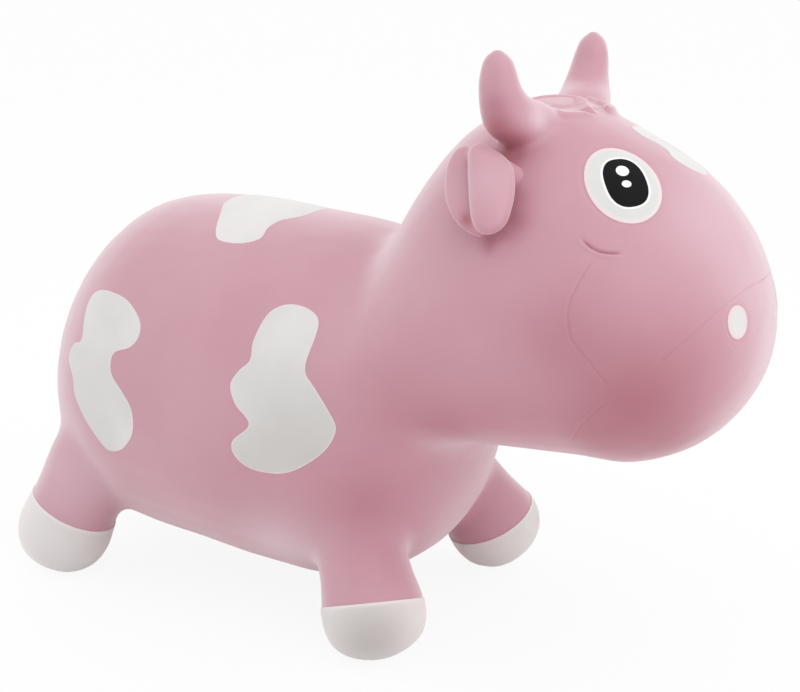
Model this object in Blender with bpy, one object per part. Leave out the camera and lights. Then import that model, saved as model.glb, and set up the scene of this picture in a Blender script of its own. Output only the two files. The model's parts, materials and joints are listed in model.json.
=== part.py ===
"""A bouncy inflatable cow for a small child to ride: a hollow moulded skin with horns, ears, an air plug
and thin painted areas.

Frame: +X towards the nose, +Y to the animal's left, +Z up. The origin is on the floor, under the middle
of the bounding box.
"""

import math

import bmesh
import bpy
from mathutils import Matrix, Vector
from mathutils.bvhtree import BVHTree

MM = 0.001

# Skin
WALL = 2.5 * MM
PAINT = 0.6 * MM
GAP = 0.3 * MM
MERGE = 0.03 * MM
BLEND_VOXEL = 5 * MM
BLEND_STEPS = 10
NECK_STEPS = 120
NECK_BLEND_X = (-90 * MM, 20 * MM, 90 * MM, 170 * MM)
# how much less the nape takes part in the neck's wide blend
NAPE_FIRMNESS_SHARE = 0.7
SKIN_FACE_SHARE = 0.058
RING_SIDES = 40
STEPS_PER_STATION = 5

# Trunk: the barrel from the rump to the chest
TRUNK_LENGTH = 374 * MM
TRUNK_WIDTH = 256 * MM
TRUNK_DEPTH = 270 * MM
TRUNK_AXIS_HEIGHT = 170 * MM
RUMP_X = -276 * MM
TRUNK_SIDE_Y = TRUNK_WIDTH / 2
TRUNK_NARROWING = 0.05
# along the trunk, axis height, half width, half depth
TRUNK_STATION_SHARES = (
    (0.00, 0.83, 0.00, 0.00),
    (0.03, 0.85, 0.41, 0.42),
    (0.11, 0.90, 0.73, 0.775),
    (0.24, 0.95, 0.94, 0.985),
    (0.42, 0.962, 1.00, 1.037),
    (0.60, 0.938, 1.00, 1.042),
    (0.77, 0.932, 0.96, 1.013),
    (0.91, 0.965, 0.77, 0.815),
    (0.98, 0.975, 0.42, 0.45),
    (1.00, 0.93, 0.00, 0.00),
)

# Head: the egg-shaped mass from inside the chest to the nose
HEAD_LENGTH = 325 * MM
HEAD_WIDTH = 210 * MM
HEAD_DEPTH = 250 * MM
HEAD_START_X = RUMP_X + TRUNK_LENGTH * 0.6845
HEAD_START_HEIGHT = TRUNK_AXIS_HEIGHT * 1.0882
HEAD_NARROWING = 0.15
# along, up (share of depth), lean in degrees, half width, half depth
HEAD_STATION_SHARES = (
    (0.00, 0.04, 40, 0.00, 0.00),
    (0.06, 0.05, 39, 0.75, 0.38),
    (0.17, 0.07, 37, 1.09, 0.51),
    (0.30, 0.150, 34, 1.08, 0.65),
    (0.42, 0.265, 28, 1.03, 0.87),
    (0.53, 0.341, 23, 1.00, 0.995),
    (0.66, 0.369, 17, 1.00, 1.01),
    (0.80, 0.361, 14, 0.91, 0.845),
    (0.90, 0.362, 12, 0.72, 0.645),
    (0.97, 0.360, 11, 0.43, 0.37),
    (1.00, 0.357, 11, 0.00, 0.00),
)

# Legs; the foot places are the middles of the hoof balls
LEG_HEIGHT = 130 * MM
LEG_TRACK = 186 * MM
# how far a hoof ball is flattened on the floor
SOLE_FLAT = 2 * MM
FRONT_FOOT_X = RUMP_X + TRUNK_LENGTH * 0.895
REAR_FOOT_X = RUMP_X + TRUNK_LENGTH * 0.107
FRONT_LEG_RADIUS = 38.5 * MM
REAR_LEG_RADIUS = 37 * MM
# along the leg from the hip to the sole, radius
FRONT_LEG_STATION_SHARES = (
    (0.00, 0.00),
    (0.05, 0.60),
    (0.25, 0.80),
    (0.48, 0.84),
    (0.64, 0.89),
    (0.75, 0.98),
    (0.86, 0.95),
    (0.95, 0.70),
    (1.00, 0.00),
)
REAR_LEG_STATION_SHARES = (
    (0.00, 0.00),
    (0.05, 0.66),
    (0.25, 0.93),
    (0.48, 0.94),
    (0.62, 0.96),
    (0.74, 1.02),
    (0.86, 0.96),
    (0.95, 0.70),
    (1.00, 0.00),
)
FRONT_LEG_LEAN = (0.56, 0.42)
REAR_LEG_LEAN = (-0.38, 0.22)
FRONT_HOOF_LEAN = (0.34, 0.36)
REAR_HOOF_LEAN = (-0.46, 0.26)
FRONT_HOOF_HEIGHT = 41 * MM
REAR_HOOF_HEIGHT = 55 * MM
# across the block that cuts a hoof off its leg, as a share of the leg's radius
HOOF_CUTTER_SHARE = 2.5

# Horns: thick at the root, which runs outwards over the head before the horn turns up.
# The place is a share of the head's length and one of its width.
HORN_HEIGHT = HEAD_WIDTH * 0.2619
HORN_RADIUS = HEAD_WIDTH * 0.0786
HORN_PLACE_SHARES = (0.5231, 0.181)
HORN_SIDES = 20
HORN_STEPS = 3
# forwards, outwards, up (shares of the height, from the root on the skin), half width, half thickness
HORN_STATION_SHARES = (
    (0.00, -0.38, -0.27, 0.00, 0.00),
    (0.00, -0.31, -0.15, 0.74, 0.60),
    (0.00, -0.15, -0.03, 1.03, 0.82),
    (-0.03, 0.11, 0.03, 1.14, 0.93),
    (-0.09, 0.37, 0.10, 1.12, 1.02),
    (-0.13, 0.51, 0.28, 0.97, 0.96),
    (-0.14, 0.60, 0.47, 0.82, 0.82),
    (-0.135, 0.65, 0.69, 0.68, 0.68),
    (-0.135, 0.67, 0.83, 0.48, 0.48),
    (-0.135, 0.67, 0.93, 0.00, 0.00),
)
HORN_SPLIT_SHARES = (-0.135, 0.58, 0.42)
HORN_SPLIT_FACING = (0, 0.3, 0.95)

# Ears: a thick front lobe and a thinner rear lobe, both hanging from one root.
# The place is a share of the head's length and one of its depth.
EAR_HEIGHT = HEAD_WIDTH * 0.2143
EAR_WIDTH = HEAD_WIDTH * 0.119
EAR_THICKNESS = HEAD_WIDTH * 0.0857
EAR_PLACE_SHARES = (0.4862, 0.668)
EAR_VOXEL = 2.2 * MM
EAR_BLEND_STEPS = 4
EAR_FACE_SHARE = 0.14
EAR_SIDES = 24
EAR_STEPS = 4
# forwards, outwards, up (shares of the height, from the root on the skin), half width, half thickness
EAR_FRONT_SHARES = (
    (0.32, -0.36, -0.08, 0.00, 0.00),
    (0.30, -0.26, -0.04, 0.60, 0.60),
    (0.12, 0.10, 0.30, 0.88, 0.80),
    (0.19, 0.44, 0.25, 1.03, 0.96),
    (0.29, 0.70, -0.10, 1.05, 1.00),
    (0.34, 0.84, -0.40, 0.94, 0.86),
    (0.36, 0.88, -0.56, 0.62, 0.60),
    (0.37, 0.89, -0.63, 0.00, 0.00),
)
EAR_REAR_SHARES = (
    (0.10, -0.36, 0.02, 0.00, 0.00),
    (0.05, -0.26, 0.08, 0.60, 0.60),
    (-0.10, 0.08, 0.27, 0.80, 0.75),
    (-0.22, 0.36, 0.20, 0.95, 0.76),
    (-0.22, 0.58, -0.12, 1.00, 0.70),
    (-0.10, 0.70, -0.44, 0.88, 0.62),
    (0.02, 0.74, -0.63, 0.00, 0.00),
)
EAR_SPLIT_SHARES = (0.0, 0.12, 0.30)
EAR_SPLIT_FACING = (0, 0.93, -0.36)

# Air plug, under the belly
PLUG_X = RUMP_X + TRUNK_LENGTH * 0.5508
PLUG_STEM_RADIUS = 3.5 * MM
PLUG_STEM_LENGTH = 11 * MM
PLUG_FLANGE_RADIUS = 8 * MM
PLUG_FLANGE = 2 * MM
PLUG_ROUNDING = 0.6 * MM
BOSS_RADIUS = 13 * MM
BOSS_HEIGHT = 9 * MM
PLUG_SIDES = 24

# Painted patches: outlines as shares of the patch size about its middle
SIDE_PATCH_SIZE = (83 * MM, 115 * MM)
SIDE_PATCH_X = RUMP_X + TRUNK_LENGTH * 0.738
SIDE_PATCH_Z = TRUNK_AXIS_HEIGHT * 1.1471
SIDE_PATCH_SHARES = (
    (-0.09, 0.50), (0.07, 0.48), (0.18, 0.43), (0.20, 0.34), (0.18, 0.16), (0.32, 0.05), (0.46, -0.08),
    (0.50, -0.18), (0.40, -0.32), (0.20, -0.44), (0.00, -0.50), (-0.26, -0.50), (-0.42, -0.44),
    (-0.45, -0.34), (-0.28, -0.21), (-0.43, -0.10), (-0.50, 0.01), (-0.44, 0.10), (-0.35, 0.17),
    (-0.36, 0.28), (-0.31, 0.42), (-0.22, 0.48),
)
RUMP_PATCH_SIZE = (78 * MM, 118 * MM)
RUMP_PATCH_X = RUMP_X + TRUNK_LENGTH * 0.2888
RUMP_PATCH_Z = TRUNK_AXIS_HEIGHT * 1.0765
RUMP_PATCH_SHARES = (
    (-0.08, 0.50), (0.22, 0.48), (0.45, 0.39), (0.50, 0.30), (0.42, 0.22), (0.22, 0.16), (0.21, 0.04),
    (0.38, -0.07), (0.50, -0.18), (0.48, -0.33), (0.31, -0.46), (0.13, -0.50), (0.00, -0.45), (-0.32, -0.21),
    (-0.38, -0.08), (-0.50, 0.03), (-0.43, 0.13), (-0.29, 0.18), (-0.32, 0.30), (-0.33, 0.40), (-0.26, 0.47),
)
BACK_PATCH_SIZE = (82 * MM, 124 * MM)
BACK_PATCH_X = RUMP_X + TRUNK_LENGTH * 0.5134
# one half; the other half is its mirror image
BACK_PATCH_SHARES = (
    (-0.46, 0.00), (-0.44, -0.14), (-0.32, -0.30), (-0.20, -0.45), (-0.09, -0.50), (0.12, -0.49),
    (0.27, -0.43), (0.26, -0.33), (0.30, -0.24), (0.42, -0.14), (0.46, 0.00),
)
FOREHEAD_PATCH_SIZE = (54 * MM, 46 * MM)
# shares of the head's length, width and depth
FOREHEAD_PATCH_PLACE_SHARES = (0.7631, 0.0476, 0.73)
FOREHEAD_PATCH_SHARES = (
    (-0.46, 0.00), (-0.42, -0.26), (-0.24, -0.34), (-0.08, -0.29), (0.06, -0.32), (0.16, -0.46),
    (0.30, -0.44), (0.44, -0.26), (0.50, 0.00), (0.40, 0.24), (0.20, 0.22), (0.02, 0.12),
    (-0.14, 0.16), (-0.28, 0.36), (-0.42, 0.24),
)
OUTLINE_STEPS = 2

# Face paint: places are shares of the head's length, width and depth; sizes are across and up the paint
EYE_PLACE_SHARES = (0.7462, 0.2524, 0.678)
EYE_FACING = (0.41, 0.54, 0.73)
EYE_SIZE = (49 * MM, 60 * MM)
EYE_SHIFT_SHARES = (0.00, 0.03)
EYE_TILT = 14
PUPIL_SIZE_SHARES = (0.55, 0.64)
PUPIL_SHIFT_SHARES = (0.00, 0.04)
GLINT_SIZE_SHARES = ((0.17, 0.14), (0.12, 0.08))
GLINT_PLACE_SHARES = ((0.00, 0.185), (-0.01, 0.01))
EYE_SIDES = 36
GLINT_SIDES = 16
NOSTRIL_PLACE_SHARES = (0.9738, 0.1952, 0.348)
NOSTRIL_FACING = (0.92, 0.33, 0.20)
NOSTRIL_SIZE = (19 * MM, 21.5 * MM)
NOSTRIL_SIDES = 28
PAINT_REACH = 30 * MM

PINK = (0.60, 0.33, 0.38)
WHITE = (0.76, 0.72, 0.73)
BLACK = (0.012, 0.012, 0.014)


def empty_scene():
    for obj in list(bpy.data.objects):
        bpy.data.objects.remove(obj)


def new_object(name, bm):
    mesh = bpy.data.meshes.new(name)
    bm.to_mesh(mesh)
    bm.free()
    obj = bpy.data.objects.new(name, mesh)
    bpy.context.scene.collection.objects.link(obj)
    return obj


def copied(obj, name):
    bm = bmesh.new()
    bm.from_mesh(obj.data)
    return new_object(name, bm)


def mirrored(obj, name):
    """A copy on the other side of the animal."""
    bm = bmesh.new()
    bm.from_mesh(obj.data)
    bmesh.ops.scale(bm, vec=(1, -1, 1), verts=bm.verts)
    bmesh.ops.reverse_faces(bm, faces=bm.faces)
    return new_object(name, bm)


def apply_modifiers(obj):
    shaped = obj.evaluated_get(bpy.context.evaluated_depsgraph_get())
    mesh = bpy.data.meshes.new_from_object(shaped)
    obj.modifiers.clear()
    obj.data = mesh


def curve_weights(t):
    """How much of four neighbouring points is in the point at t between the middle two."""
    return (
        (-t + 2 * t * t - t**3) / 2,
        (2 - 5 * t * t + 3 * t**3) / 2,
        (t + 4 * t * t - 3 * t**3) / 2,
        (t**3 - t * t) / 2,
    )


def weighted(rows, t):
    return tuple(sum(w * v for w, v in zip(curve_weights(t), values)) for values in zip(*rows))


def spline_rows(rows, steps):
    """Rows read from a smooth curve through the stations. The first and last rows are poles, rounded off."""
    before = rows[1][:-2] + (-rows[1][-2], -rows[1][-1])
    after = rows[-2][:-2] + (-rows[-2][-2], -rows[-2][-1])
    guide = [before, *rows, after]
    out = []
    for four in zip(guide, guide[1:], guide[2:], guide[3:]):
        out += [weighted(four, k / steps) for k in range(steps)]
    out.append(tuple(rows[-1]))
    return out


def rounded(outline, steps=OUTLINE_STEPS):
    """A smooth closed curve through the outline's points."""
    out = []
    for i in range(len(outline)):
        four = [outline[(i + k) % len(outline)] for k in (-1, 0, 1, 2)]
        out += [weighted(four, k / steps) for k in range(steps)]
    return out


def loft(name, rings):
    """A closed mesh through rings of points; the first and last rings are single points."""
    bm = bmesh.new()
    rows = [[bm.verts.new(p) for p in ring] for ring in rings]
    for low, high in zip(rows, rows[1:]):
        sides = max(len(low), len(high))
        for i in range(sides):
            j = (i + 1) % sides
            corners = [low[i % len(low)], low[j % len(low)], high[j % len(high)], high[i % len(high)]]
            bm.faces.new(list(dict.fromkeys(corners)))
    bmesh.ops.recalc_face_normals(bm, faces=bm.faces)
    return new_object(name, bm)


def section(centre, across, up, half_width, half_depth, narrowing=0.0, sides=RING_SIDES):
    """One cross-section: a point for a pole, otherwise an ellipse, narrowed towards its top."""
    if half_width <= 0:
        return [centre]
    points = []
    for i in range(sides):
        turn = math.tau * i / sides
        wide = half_width * math.cos(turn) * (1 - narrowing * math.sin(turn))
        points.append(centre + across * wide + up * (half_depth * math.sin(turn)))
    return points


def tube(name, root, height, size, shares, sides, steps):
    """A closed tube from a root on the right side of the skin, outwards to the right."""
    rows = spline_rows(shares, steps)
    middles = [root + Vector((x, -y, z)) * height for x, y, z, w, d in rows]
    rings = []
    for i, row in enumerate(rows):
        heading = (middles[min(i + 1, len(rows) - 1)] - middles[max(i - 1, 0)]).normalized()
        across = (Vector((1, 0, 0)) - heading * heading.x).normalized()
        half = (row[3] * size[0], row[4] * size[1])
        rings.append(section(middles[i], across, heading.cross(across), half[0], half[1], sides=sides))
    return loft(name, rings)


def trunk():
    rings = []
    for x, z, w, d in spline_rows(TRUNK_STATION_SHARES, STEPS_PER_STATION):
        centre = Vector((RUMP_X + x * TRUNK_LENGTH, 0, z * TRUNK_AXIS_HEIGHT))
        half = (w * TRUNK_WIDTH / 2, d * TRUNK_DEPTH / 2)
        rings.append(section(centre, Vector((0, 1, 0)), Vector((0, 0, 1)), *half, TRUNK_NARROWING))
    return loft("trunk_form", rings)


def head():
    rings = []
    for x, z, lean, w, d in spline_rows(HEAD_STATION_SHARES, STEPS_PER_STATION):
        centre = Vector((HEAD_START_X + x * HEAD_LENGTH, 0, HEAD_START_HEIGHT + z * HEAD_DEPTH))
        up = Vector((-math.sin(math.radians(lean)), 0, math.cos(math.radians(lean))))
        half = (w * HEAD_WIDTH / 2, d * HEAD_DEPTH / 2)
        rings.append(section(centre, Vector((0, 1, 0)), up, half[0], half[1], HEAD_NARROWING))
    return loft("head_form", rings)


def leg_line(foot_x, side, lean, radius):
    """The foot end of a leg's middle line and the direction up to the hip."""
    slope = Vector((-lean[0], -side * lean[1], 1))
    ball = Vector((foot_x, side * LEG_TRACK / 2, radius - SOLE_FLAT))
    return ball - slope.normalized() * radius, slope


def leg(name, foot_x, side, lean, radius, shares):
    foot, slope = leg_line(foot_x, side, lean, radius)
    hip = foot + slope * LEG_HEIGHT
    axis = (foot - hip).normalized()
    across = axis.cross(Vector((1, 0, 0))).normalized()
    along = across.cross(axis)
    rings = []
    for t, r, _ in spline_rows([(t, r, r) for t, r in shares], STEPS_PER_STATION):
        rings.append(section(hip.lerp(foot, t), across, along, r * radius, r * radius))
    return loft(name, rings)


def joined(name, objects):
    bm = bmesh.new()
    for obj in objects:
        bm.from_mesh(obj.data)
        bpy.data.objects.remove(obj)
    return new_object(name, bm)


def ramp(value, low, high):
    t = min(max((value - low) / (high - low), 0), 1)
    return t * t * (3 - 2 * t)


def neck_share(point):
    """How fully a point of the skin takes part in the wide blend: fully round the neck, not at the feet."""
    above = ramp(point.z, LEG_HEIGHT * 0.6, LEG_HEIGHT)
    nape = 1 - NAPE_FIRMNESS_SHARE * ramp(point.z, TRUNK_AXIS_HEIGHT * 1.3, TRUNK_AXIS_HEIGHT * 1.7)
    behind = ramp(point.x, NECK_BLEND_X[0], NECK_BLEND_X[1])
    ahead = 1 - ramp(point.x, NECK_BLEND_X[2], NECK_BLEND_X[3])
    return above * nape * behind * ahead


def blended(obj, voxel, steps):
    """Overlapping forms turned into one surface with softened meeting lines."""
    remesh = obj.modifiers.new("blend", "REMESH")
    remesh.mode = "VOXEL"
    remesh.voxel_size = voxel
    smooth = obj.modifiers.new("soften", "SMOOTH")
    smooth.factor = 0.5
    smooth.iterations = steps
    apply_modifiers(obj)


def simplified(obj, share):
    decimate = obj.modifiers.new("fewer_faces", "DECIMATE")
    decimate.ratio = share
    decimate.use_collapse_triangulate = True
    apply_modifiers(obj)


def cut(obj, point, facing, fill=True):
    """Takes away what lies on the side of a plane that it faces."""
    bm = bmesh.new()
    bm.from_mesh(obj.data)
    geometry = [*bm.verts, *bm.edges, *bm.faces]
    bmesh.ops.bisect_plane(bm, geom=geometry, dist=1e-7, plane_co=point, plane_no=facing, clear_outer=True)
    if fill:
        bmesh.ops.holes_fill(bm, edges=[e for e in bm.edges if e.is_boundary], sides=0)
    bm.to_mesh(obj.data)
    bm.free()


def body_form():
    """The animal's outside without horns and ears, the same on both sides."""
    forms = [trunk(), head()]
    for side in (-1, 1):
        front = (FRONT_FOOT_X, side, FRONT_LEG_LEAN, FRONT_LEG_RADIUS, FRONT_LEG_STATION_SHARES)
        rear = (REAR_FOOT_X, side, REAR_LEG_LEAN, REAR_LEG_RADIUS, REAR_LEG_STATION_SHARES)
        forms.append(leg("front_leg_form", *front))
        forms.append(leg("rear_leg_form", *rear))
    form = joined("body_form", forms)
    blended(form, BLEND_VOXEL, BLEND_STEPS)
    neck = form.vertex_groups.new(name="neck")
    for vertex in form.data.vertices:
        neck.add([vertex.index], neck_share(vertex.co), "REPLACE")
    smooth = form.modifiers.new("neck_blend", "SMOOTH")
    smooth.factor = 0.5
    smooth.iterations = NECK_STEPS
    smooth.vertex_group = "neck"
    apply_modifiers(form)
    cut(form, Vector((0, 0, 0)), Vector((0, 1, 0)), fill=False)
    simplified(form, SKIN_FACE_SHARE)
    bm = bmesh.new()
    bm.from_mesh(form.data)
    for vert in bm.verts:
        if vert.is_boundary:
            vert.co.y = 0
    bm.to_mesh(form.data)
    bm.free()
    mirror = form.modifiers.new("other_side", "MIRROR")
    mirror.use_axis = (False, True, False)
    mirror.merge_threshold = MERGE
    apply_modifiers(form)
    return form


def grown(form, name, distance, sole_height):
    """The form moved out along its normals and cut flat under the feet."""
    bm = bmesh.new()
    bm.from_mesh(form.data)
    bm.normal_update()
    moves = [vert.normal * (vert.calc_shell_factor() * distance) for vert in bm.verts]
    for vert, move in zip(bm.verts, moves):
        vert.co += move
    obj = new_object(name, bm)
    cut(obj, Vector((0, 0, sole_height)), Vector((0, 0, -1)))
    return obj


def combined(obj, tool, operation, keep_tool=False):
    boolean = obj.modifiers.new("combine", "BOOLEAN")
    boolean.operation = operation
    boolean.solver = "EXACT"
    boolean.object = tool
    apply_modifiers(obj)
    bm = bmesh.new()
    bm.from_mesh(obj.data)
    bmesh.ops.remove_doubles(bm, verts=bm.verts, dist=MERGE)
    bmesh.ops.dissolve_degenerate(bm, edges=bm.edges, dist=MERGE)
    bm.to_mesh(obj.data)
    bm.free()
    if not keep_tool:
        bpy.data.objects.remove(tool)
    return obj


def turned(name, profile, x, y, z):
    """A closed body of upright rings, each a radius and a height above the place given; radius 0 ends it."""
    rings = []
    for radius, up in profile:
        centre = Vector((x, y, z + up))
        rings.append(section(centre, Vector((1, 0, 0)), Vector((0, 1, 0)), radius, radius, sides=PLUG_SIDES))
    return loft(name, rings)


def drum(name, radius, x, y, low, high):
    return turned(name, ((0, 0), (radius, 0), (radius, high - low), (0, high - low)), x, y, low)


def prism(name, outline, place, facing, reach):
    """A straight block with the outline's shape, through a place on the skin along the facing direction."""
    facing = Vector(facing).normalized()
    across = Vector((0, 0, 1)).cross(facing)
    across = across.normalized() if across.length > 0.01 else Vector((1, 0, 0))
    up = facing.cross(across)
    bm = bmesh.new()
    low = [bm.verts.new(place + across * u + up * v - facing * reach) for u, v in outline]
    high = [bm.verts.new(place + across * u + up * v + facing * reach) for u, v in outline]
    bm.faces.new(low)
    bm.faces.new(high)
    for i in range(len(low)):
        j = (i + 1) % len(low)
        bm.faces.new((low[i], low[j], high[j], high[i]))
    bmesh.ops.recalc_face_normals(bm, faces=bm.faces)
    return new_object(name, bm)


def sized(shares, size):
    return [(u * size[0], v * size[1]) for u, v in shares]


def oval(size, middle=(0, 0), grow=0.0, sides=EYE_SIDES, tilt=0):
    """An oval outline; the tilt turns its long axis about its own middle, in degrees."""
    points = []
    lean = math.radians(tilt)
    for i in range(sides):
        turn = math.tau * i / sides
        u = (size[0] / 2 + grow) * math.cos(turn)
        v = (size[1] / 2 + grow) * math.sin(turn)
        points.append((
            middle[0] + u * math.cos(lean) - v * math.sin(lean),
            middle[1] + u * math.sin(lean) + v * math.cos(lean),
        ))
    return points


def painted(name, shell, outline, place, facing, reach=PAINT_REACH):
    """The part of the paint shell inside an outline."""
    return combined(copied(shell, name), prism(name + "_outline", outline, place, facing, reach), "INTERSECT")


def holed(obj, outline, place, facing, reach=PAINT_REACH):
    return combined(obj, prism("hole_outline", outline, place, facing, reach), "DIFFERENCE")


def on_head(shares):
    """A place on the animal's right, from shares of the head's length, width and depth."""
    x = HEAD_START_X + shares[0] * HEAD_LENGTH
    z = HEAD_START_HEIGHT + shares[2] * HEAD_DEPTH
    return Vector((x, -shares[1] * HEAD_WIDTH, z))


def skin_point(tree, start, direction):
    return tree.ray_cast(Vector(start), Vector(direction))[0]


def finished(obj, name, colour, roughness, pivot=None):
    """Names a piece, gives it a material of its own and puts its origin on its joint's axis."""
    obj.name = name
    obj.data.name = name
    obj.data.materials.clear()
    material = bpy.data.materials.new(name)
    material.use_nodes = True
    shader = material.node_tree.nodes["Principled BSDF"]
    shader.inputs["Base Color"].default_value = (*colour, 1)
    shader.inputs["Roughness"].default_value = roughness
    shader.inputs["Metallic"].default_value = 0
    obj.data.materials.append(material)
    if pivot is not None:
        obj.data.transform(Matrix.Translation(-pivot))
        obj.location = pivot
    return obj


def body_skin(form, tree):
    """The hollow wall with the plug's boss, seat and hole."""
    outer = grown(form, "body_skin", 0, PAINT + GAP)
    air = grown(form, "air_space", -WALL, PAINT + GAP + WALL)
    belly = skin_point(tree, (PLUG_X, 0, 0), (0, 0, 1)).z
    inside = belly + BOSS_HEIGHT
    combined(air, drum("boss", BOSS_RADIUS, PLUG_X, 0, belly - WALL, inside), "DIFFERENCE")
    combined(outer, air, "DIFFERENCE")
    seat = belly + PLUG_FLANGE
    combined(outer, drum("seat", PLUG_FLANGE_RADIUS + GAP, PLUG_X, 0, belly - WALL, seat), "DIFFERENCE")
    hole = drum("hole", PLUG_STEM_RADIUS + GAP, PLUG_X, 0, belly - WALL, inside + WALL)
    combined(outer, hole, "DIFFERENCE")
    return finished(outer, "body_skin", PINK, 0.45), seat


def air_plug(seat):
    flange = PLUG_FLANGE
    top = flange + PLUG_STEM_LENGTH
    profile = (
        (0, 0),
        (PLUG_FLANGE_RADIUS - PLUG_ROUNDING, 0),
        (PLUG_FLANGE_RADIUS, PLUG_ROUNDING),
        (PLUG_FLANGE_RADIUS, flange),
        (PLUG_STEM_RADIUS, flange),
        (PLUG_STEM_RADIUS, top - PLUG_ROUNDING),
        (PLUG_STEM_RADIUS - PLUG_ROUNDING, top),
        (0, top),
    )
    plug = turned("air_plug", profile, PLUG_X, 0, seat - GAP - flange)
    return finished(plug, "air_plug", PINK, 0.5, Vector((PLUG_X, 0, seat - GAP)))


def pair(right, name, colour, roughness, pivot=None):
    """Finishes the right-hand piece and adds its mirror image on the left."""
    left = mirrored(right, name + "_left")
    finished(right, name + "_right", colour, roughness, pivot)
    finished(left, name + "_left", colour, roughness, pivot and Vector((pivot.x, -pivot.y, pivot.z)))


def split(whole, name, place, facing, near_skin):
    """A soft root that meets the skin and the piece that swings on it, with a thin gap at each meeting."""
    facing = Vector((facing[0], -facing[1], facing[2])).normalized()
    root = copied(whole, name + "_root")
    cut(root, place, facing)
    cut(whole, place + facing * GAP, -facing)
    combined(root, near_skin, "DIFFERENCE", keep_tool=True)
    pair(root, name + "_root", PINK, 0.45)
    pair(whole, name, PINK, 0.45, place)


def horns(tree, near_skin):
    place = on_head((*HORN_PLACE_SHARES, 2))
    root = skin_point(tree, place, (0, 0, -1))
    radius = (HORN_RADIUS, HORN_RADIUS)
    whole = tube("horn", root, HORN_HEIGHT, radius, HORN_STATION_SHARES, HORN_SIDES, HORN_STEPS)
    x, y, z = HORN_SPLIT_SHARES
    split(whole, "horn", root + Vector((x, -y, z)) * HORN_HEIGHT, HORN_SPLIT_FACING, near_skin)


def ears(tree, near_skin):
    x, z = EAR_PLACE_SHARES
    root = skin_point(tree, on_head((x, 2, z)), (0, 1, 0))
    size = (EAR_WIDTH / 2, EAR_THICKNESS / 2)
    lobes = []
    for shares in (EAR_FRONT_SHARES, EAR_REAR_SHARES):
        lobes.append(tube("ear_lobe", root, EAR_HEIGHT, size, shares, EAR_SIDES, EAR_STEPS))
    whole = joined("ear", lobes)
    blended(whole, EAR_VOXEL, EAR_BLEND_STEPS)
    simplified(whole, EAR_FACE_SHARE)
    x, y, z = EAR_SPLIT_SHARES
    split(whole, "ear", root + Vector((x, -y, z)) * EAR_HEIGHT, EAR_SPLIT_FACING, near_skin)


def hooves(shell):
    for end, foot_x, lean, radius, height in (
        ("front", FRONT_FOOT_X, FRONT_HOOF_LEAN, FRONT_LEG_RADIUS, FRONT_HOOF_HEIGHT),
        ("rear", REAR_FOOT_X, REAR_HOOF_LEAN, REAR_LEG_RADIUS, REAR_HOOF_HEIGHT),
    ):
        foot, slope = leg_line(foot_x, -1, lean, radius)
        outline = oval((radius * HOOF_CUTTER_SHARE, radius * HOOF_CUTTER_SHARE))
        hoof = painted("hoof", shell, outline, foot, slope, height)
        pair(hoof, end + "_hoof", WHITE, 0.5)


def patches(shell):
    side = rounded(sized(SIDE_PATCH_SHARES, SIDE_PATCH_SIZE))
    place = Vector((SIDE_PATCH_X, -TRUNK_SIDE_Y, SIDE_PATCH_Z))
    pair(painted("side_patch", shell, side, place, (0, -1, 0)), "side_patch", WHITE, 0.5)
    rump = rounded(sized(RUMP_PATCH_SHARES, RUMP_PATCH_SIZE))
    place = Vector((RUMP_PATCH_X, -TRUNK_SIDE_Y, RUMP_PATCH_Z))
    pair(painted("rump_patch", shell, rump, place, (0, -1, 0), 2 * PAINT_REACH), "rump_patch", WHITE, 0.5)
    half = sized(BACK_PATCH_SHARES, BACK_PATCH_SIZE)
    back = rounded(half + [(u, -v) for u, v in reversed(half) if v])
    place = Vector((BACK_PATCH_X, 0, TRUNK_AXIS_HEIGHT + TRUNK_DEPTH / 2))
    finished(painted("back_patch", shell, back, place, (0, 0, 1)), "back_patch", WHITE, 0.5)
    forehead = rounded(sized(FOREHEAD_PATCH_SHARES, FOREHEAD_PATCH_SIZE))
    x, y, z = FOREHEAD_PATCH_PLACE_SHARES
    place = on_head((x, -y, z))
    finished(painted("forehead_patch", shell, forehead, place, (0, 0, 1)), "forehead_patch", WHITE, 0.5)


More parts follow.
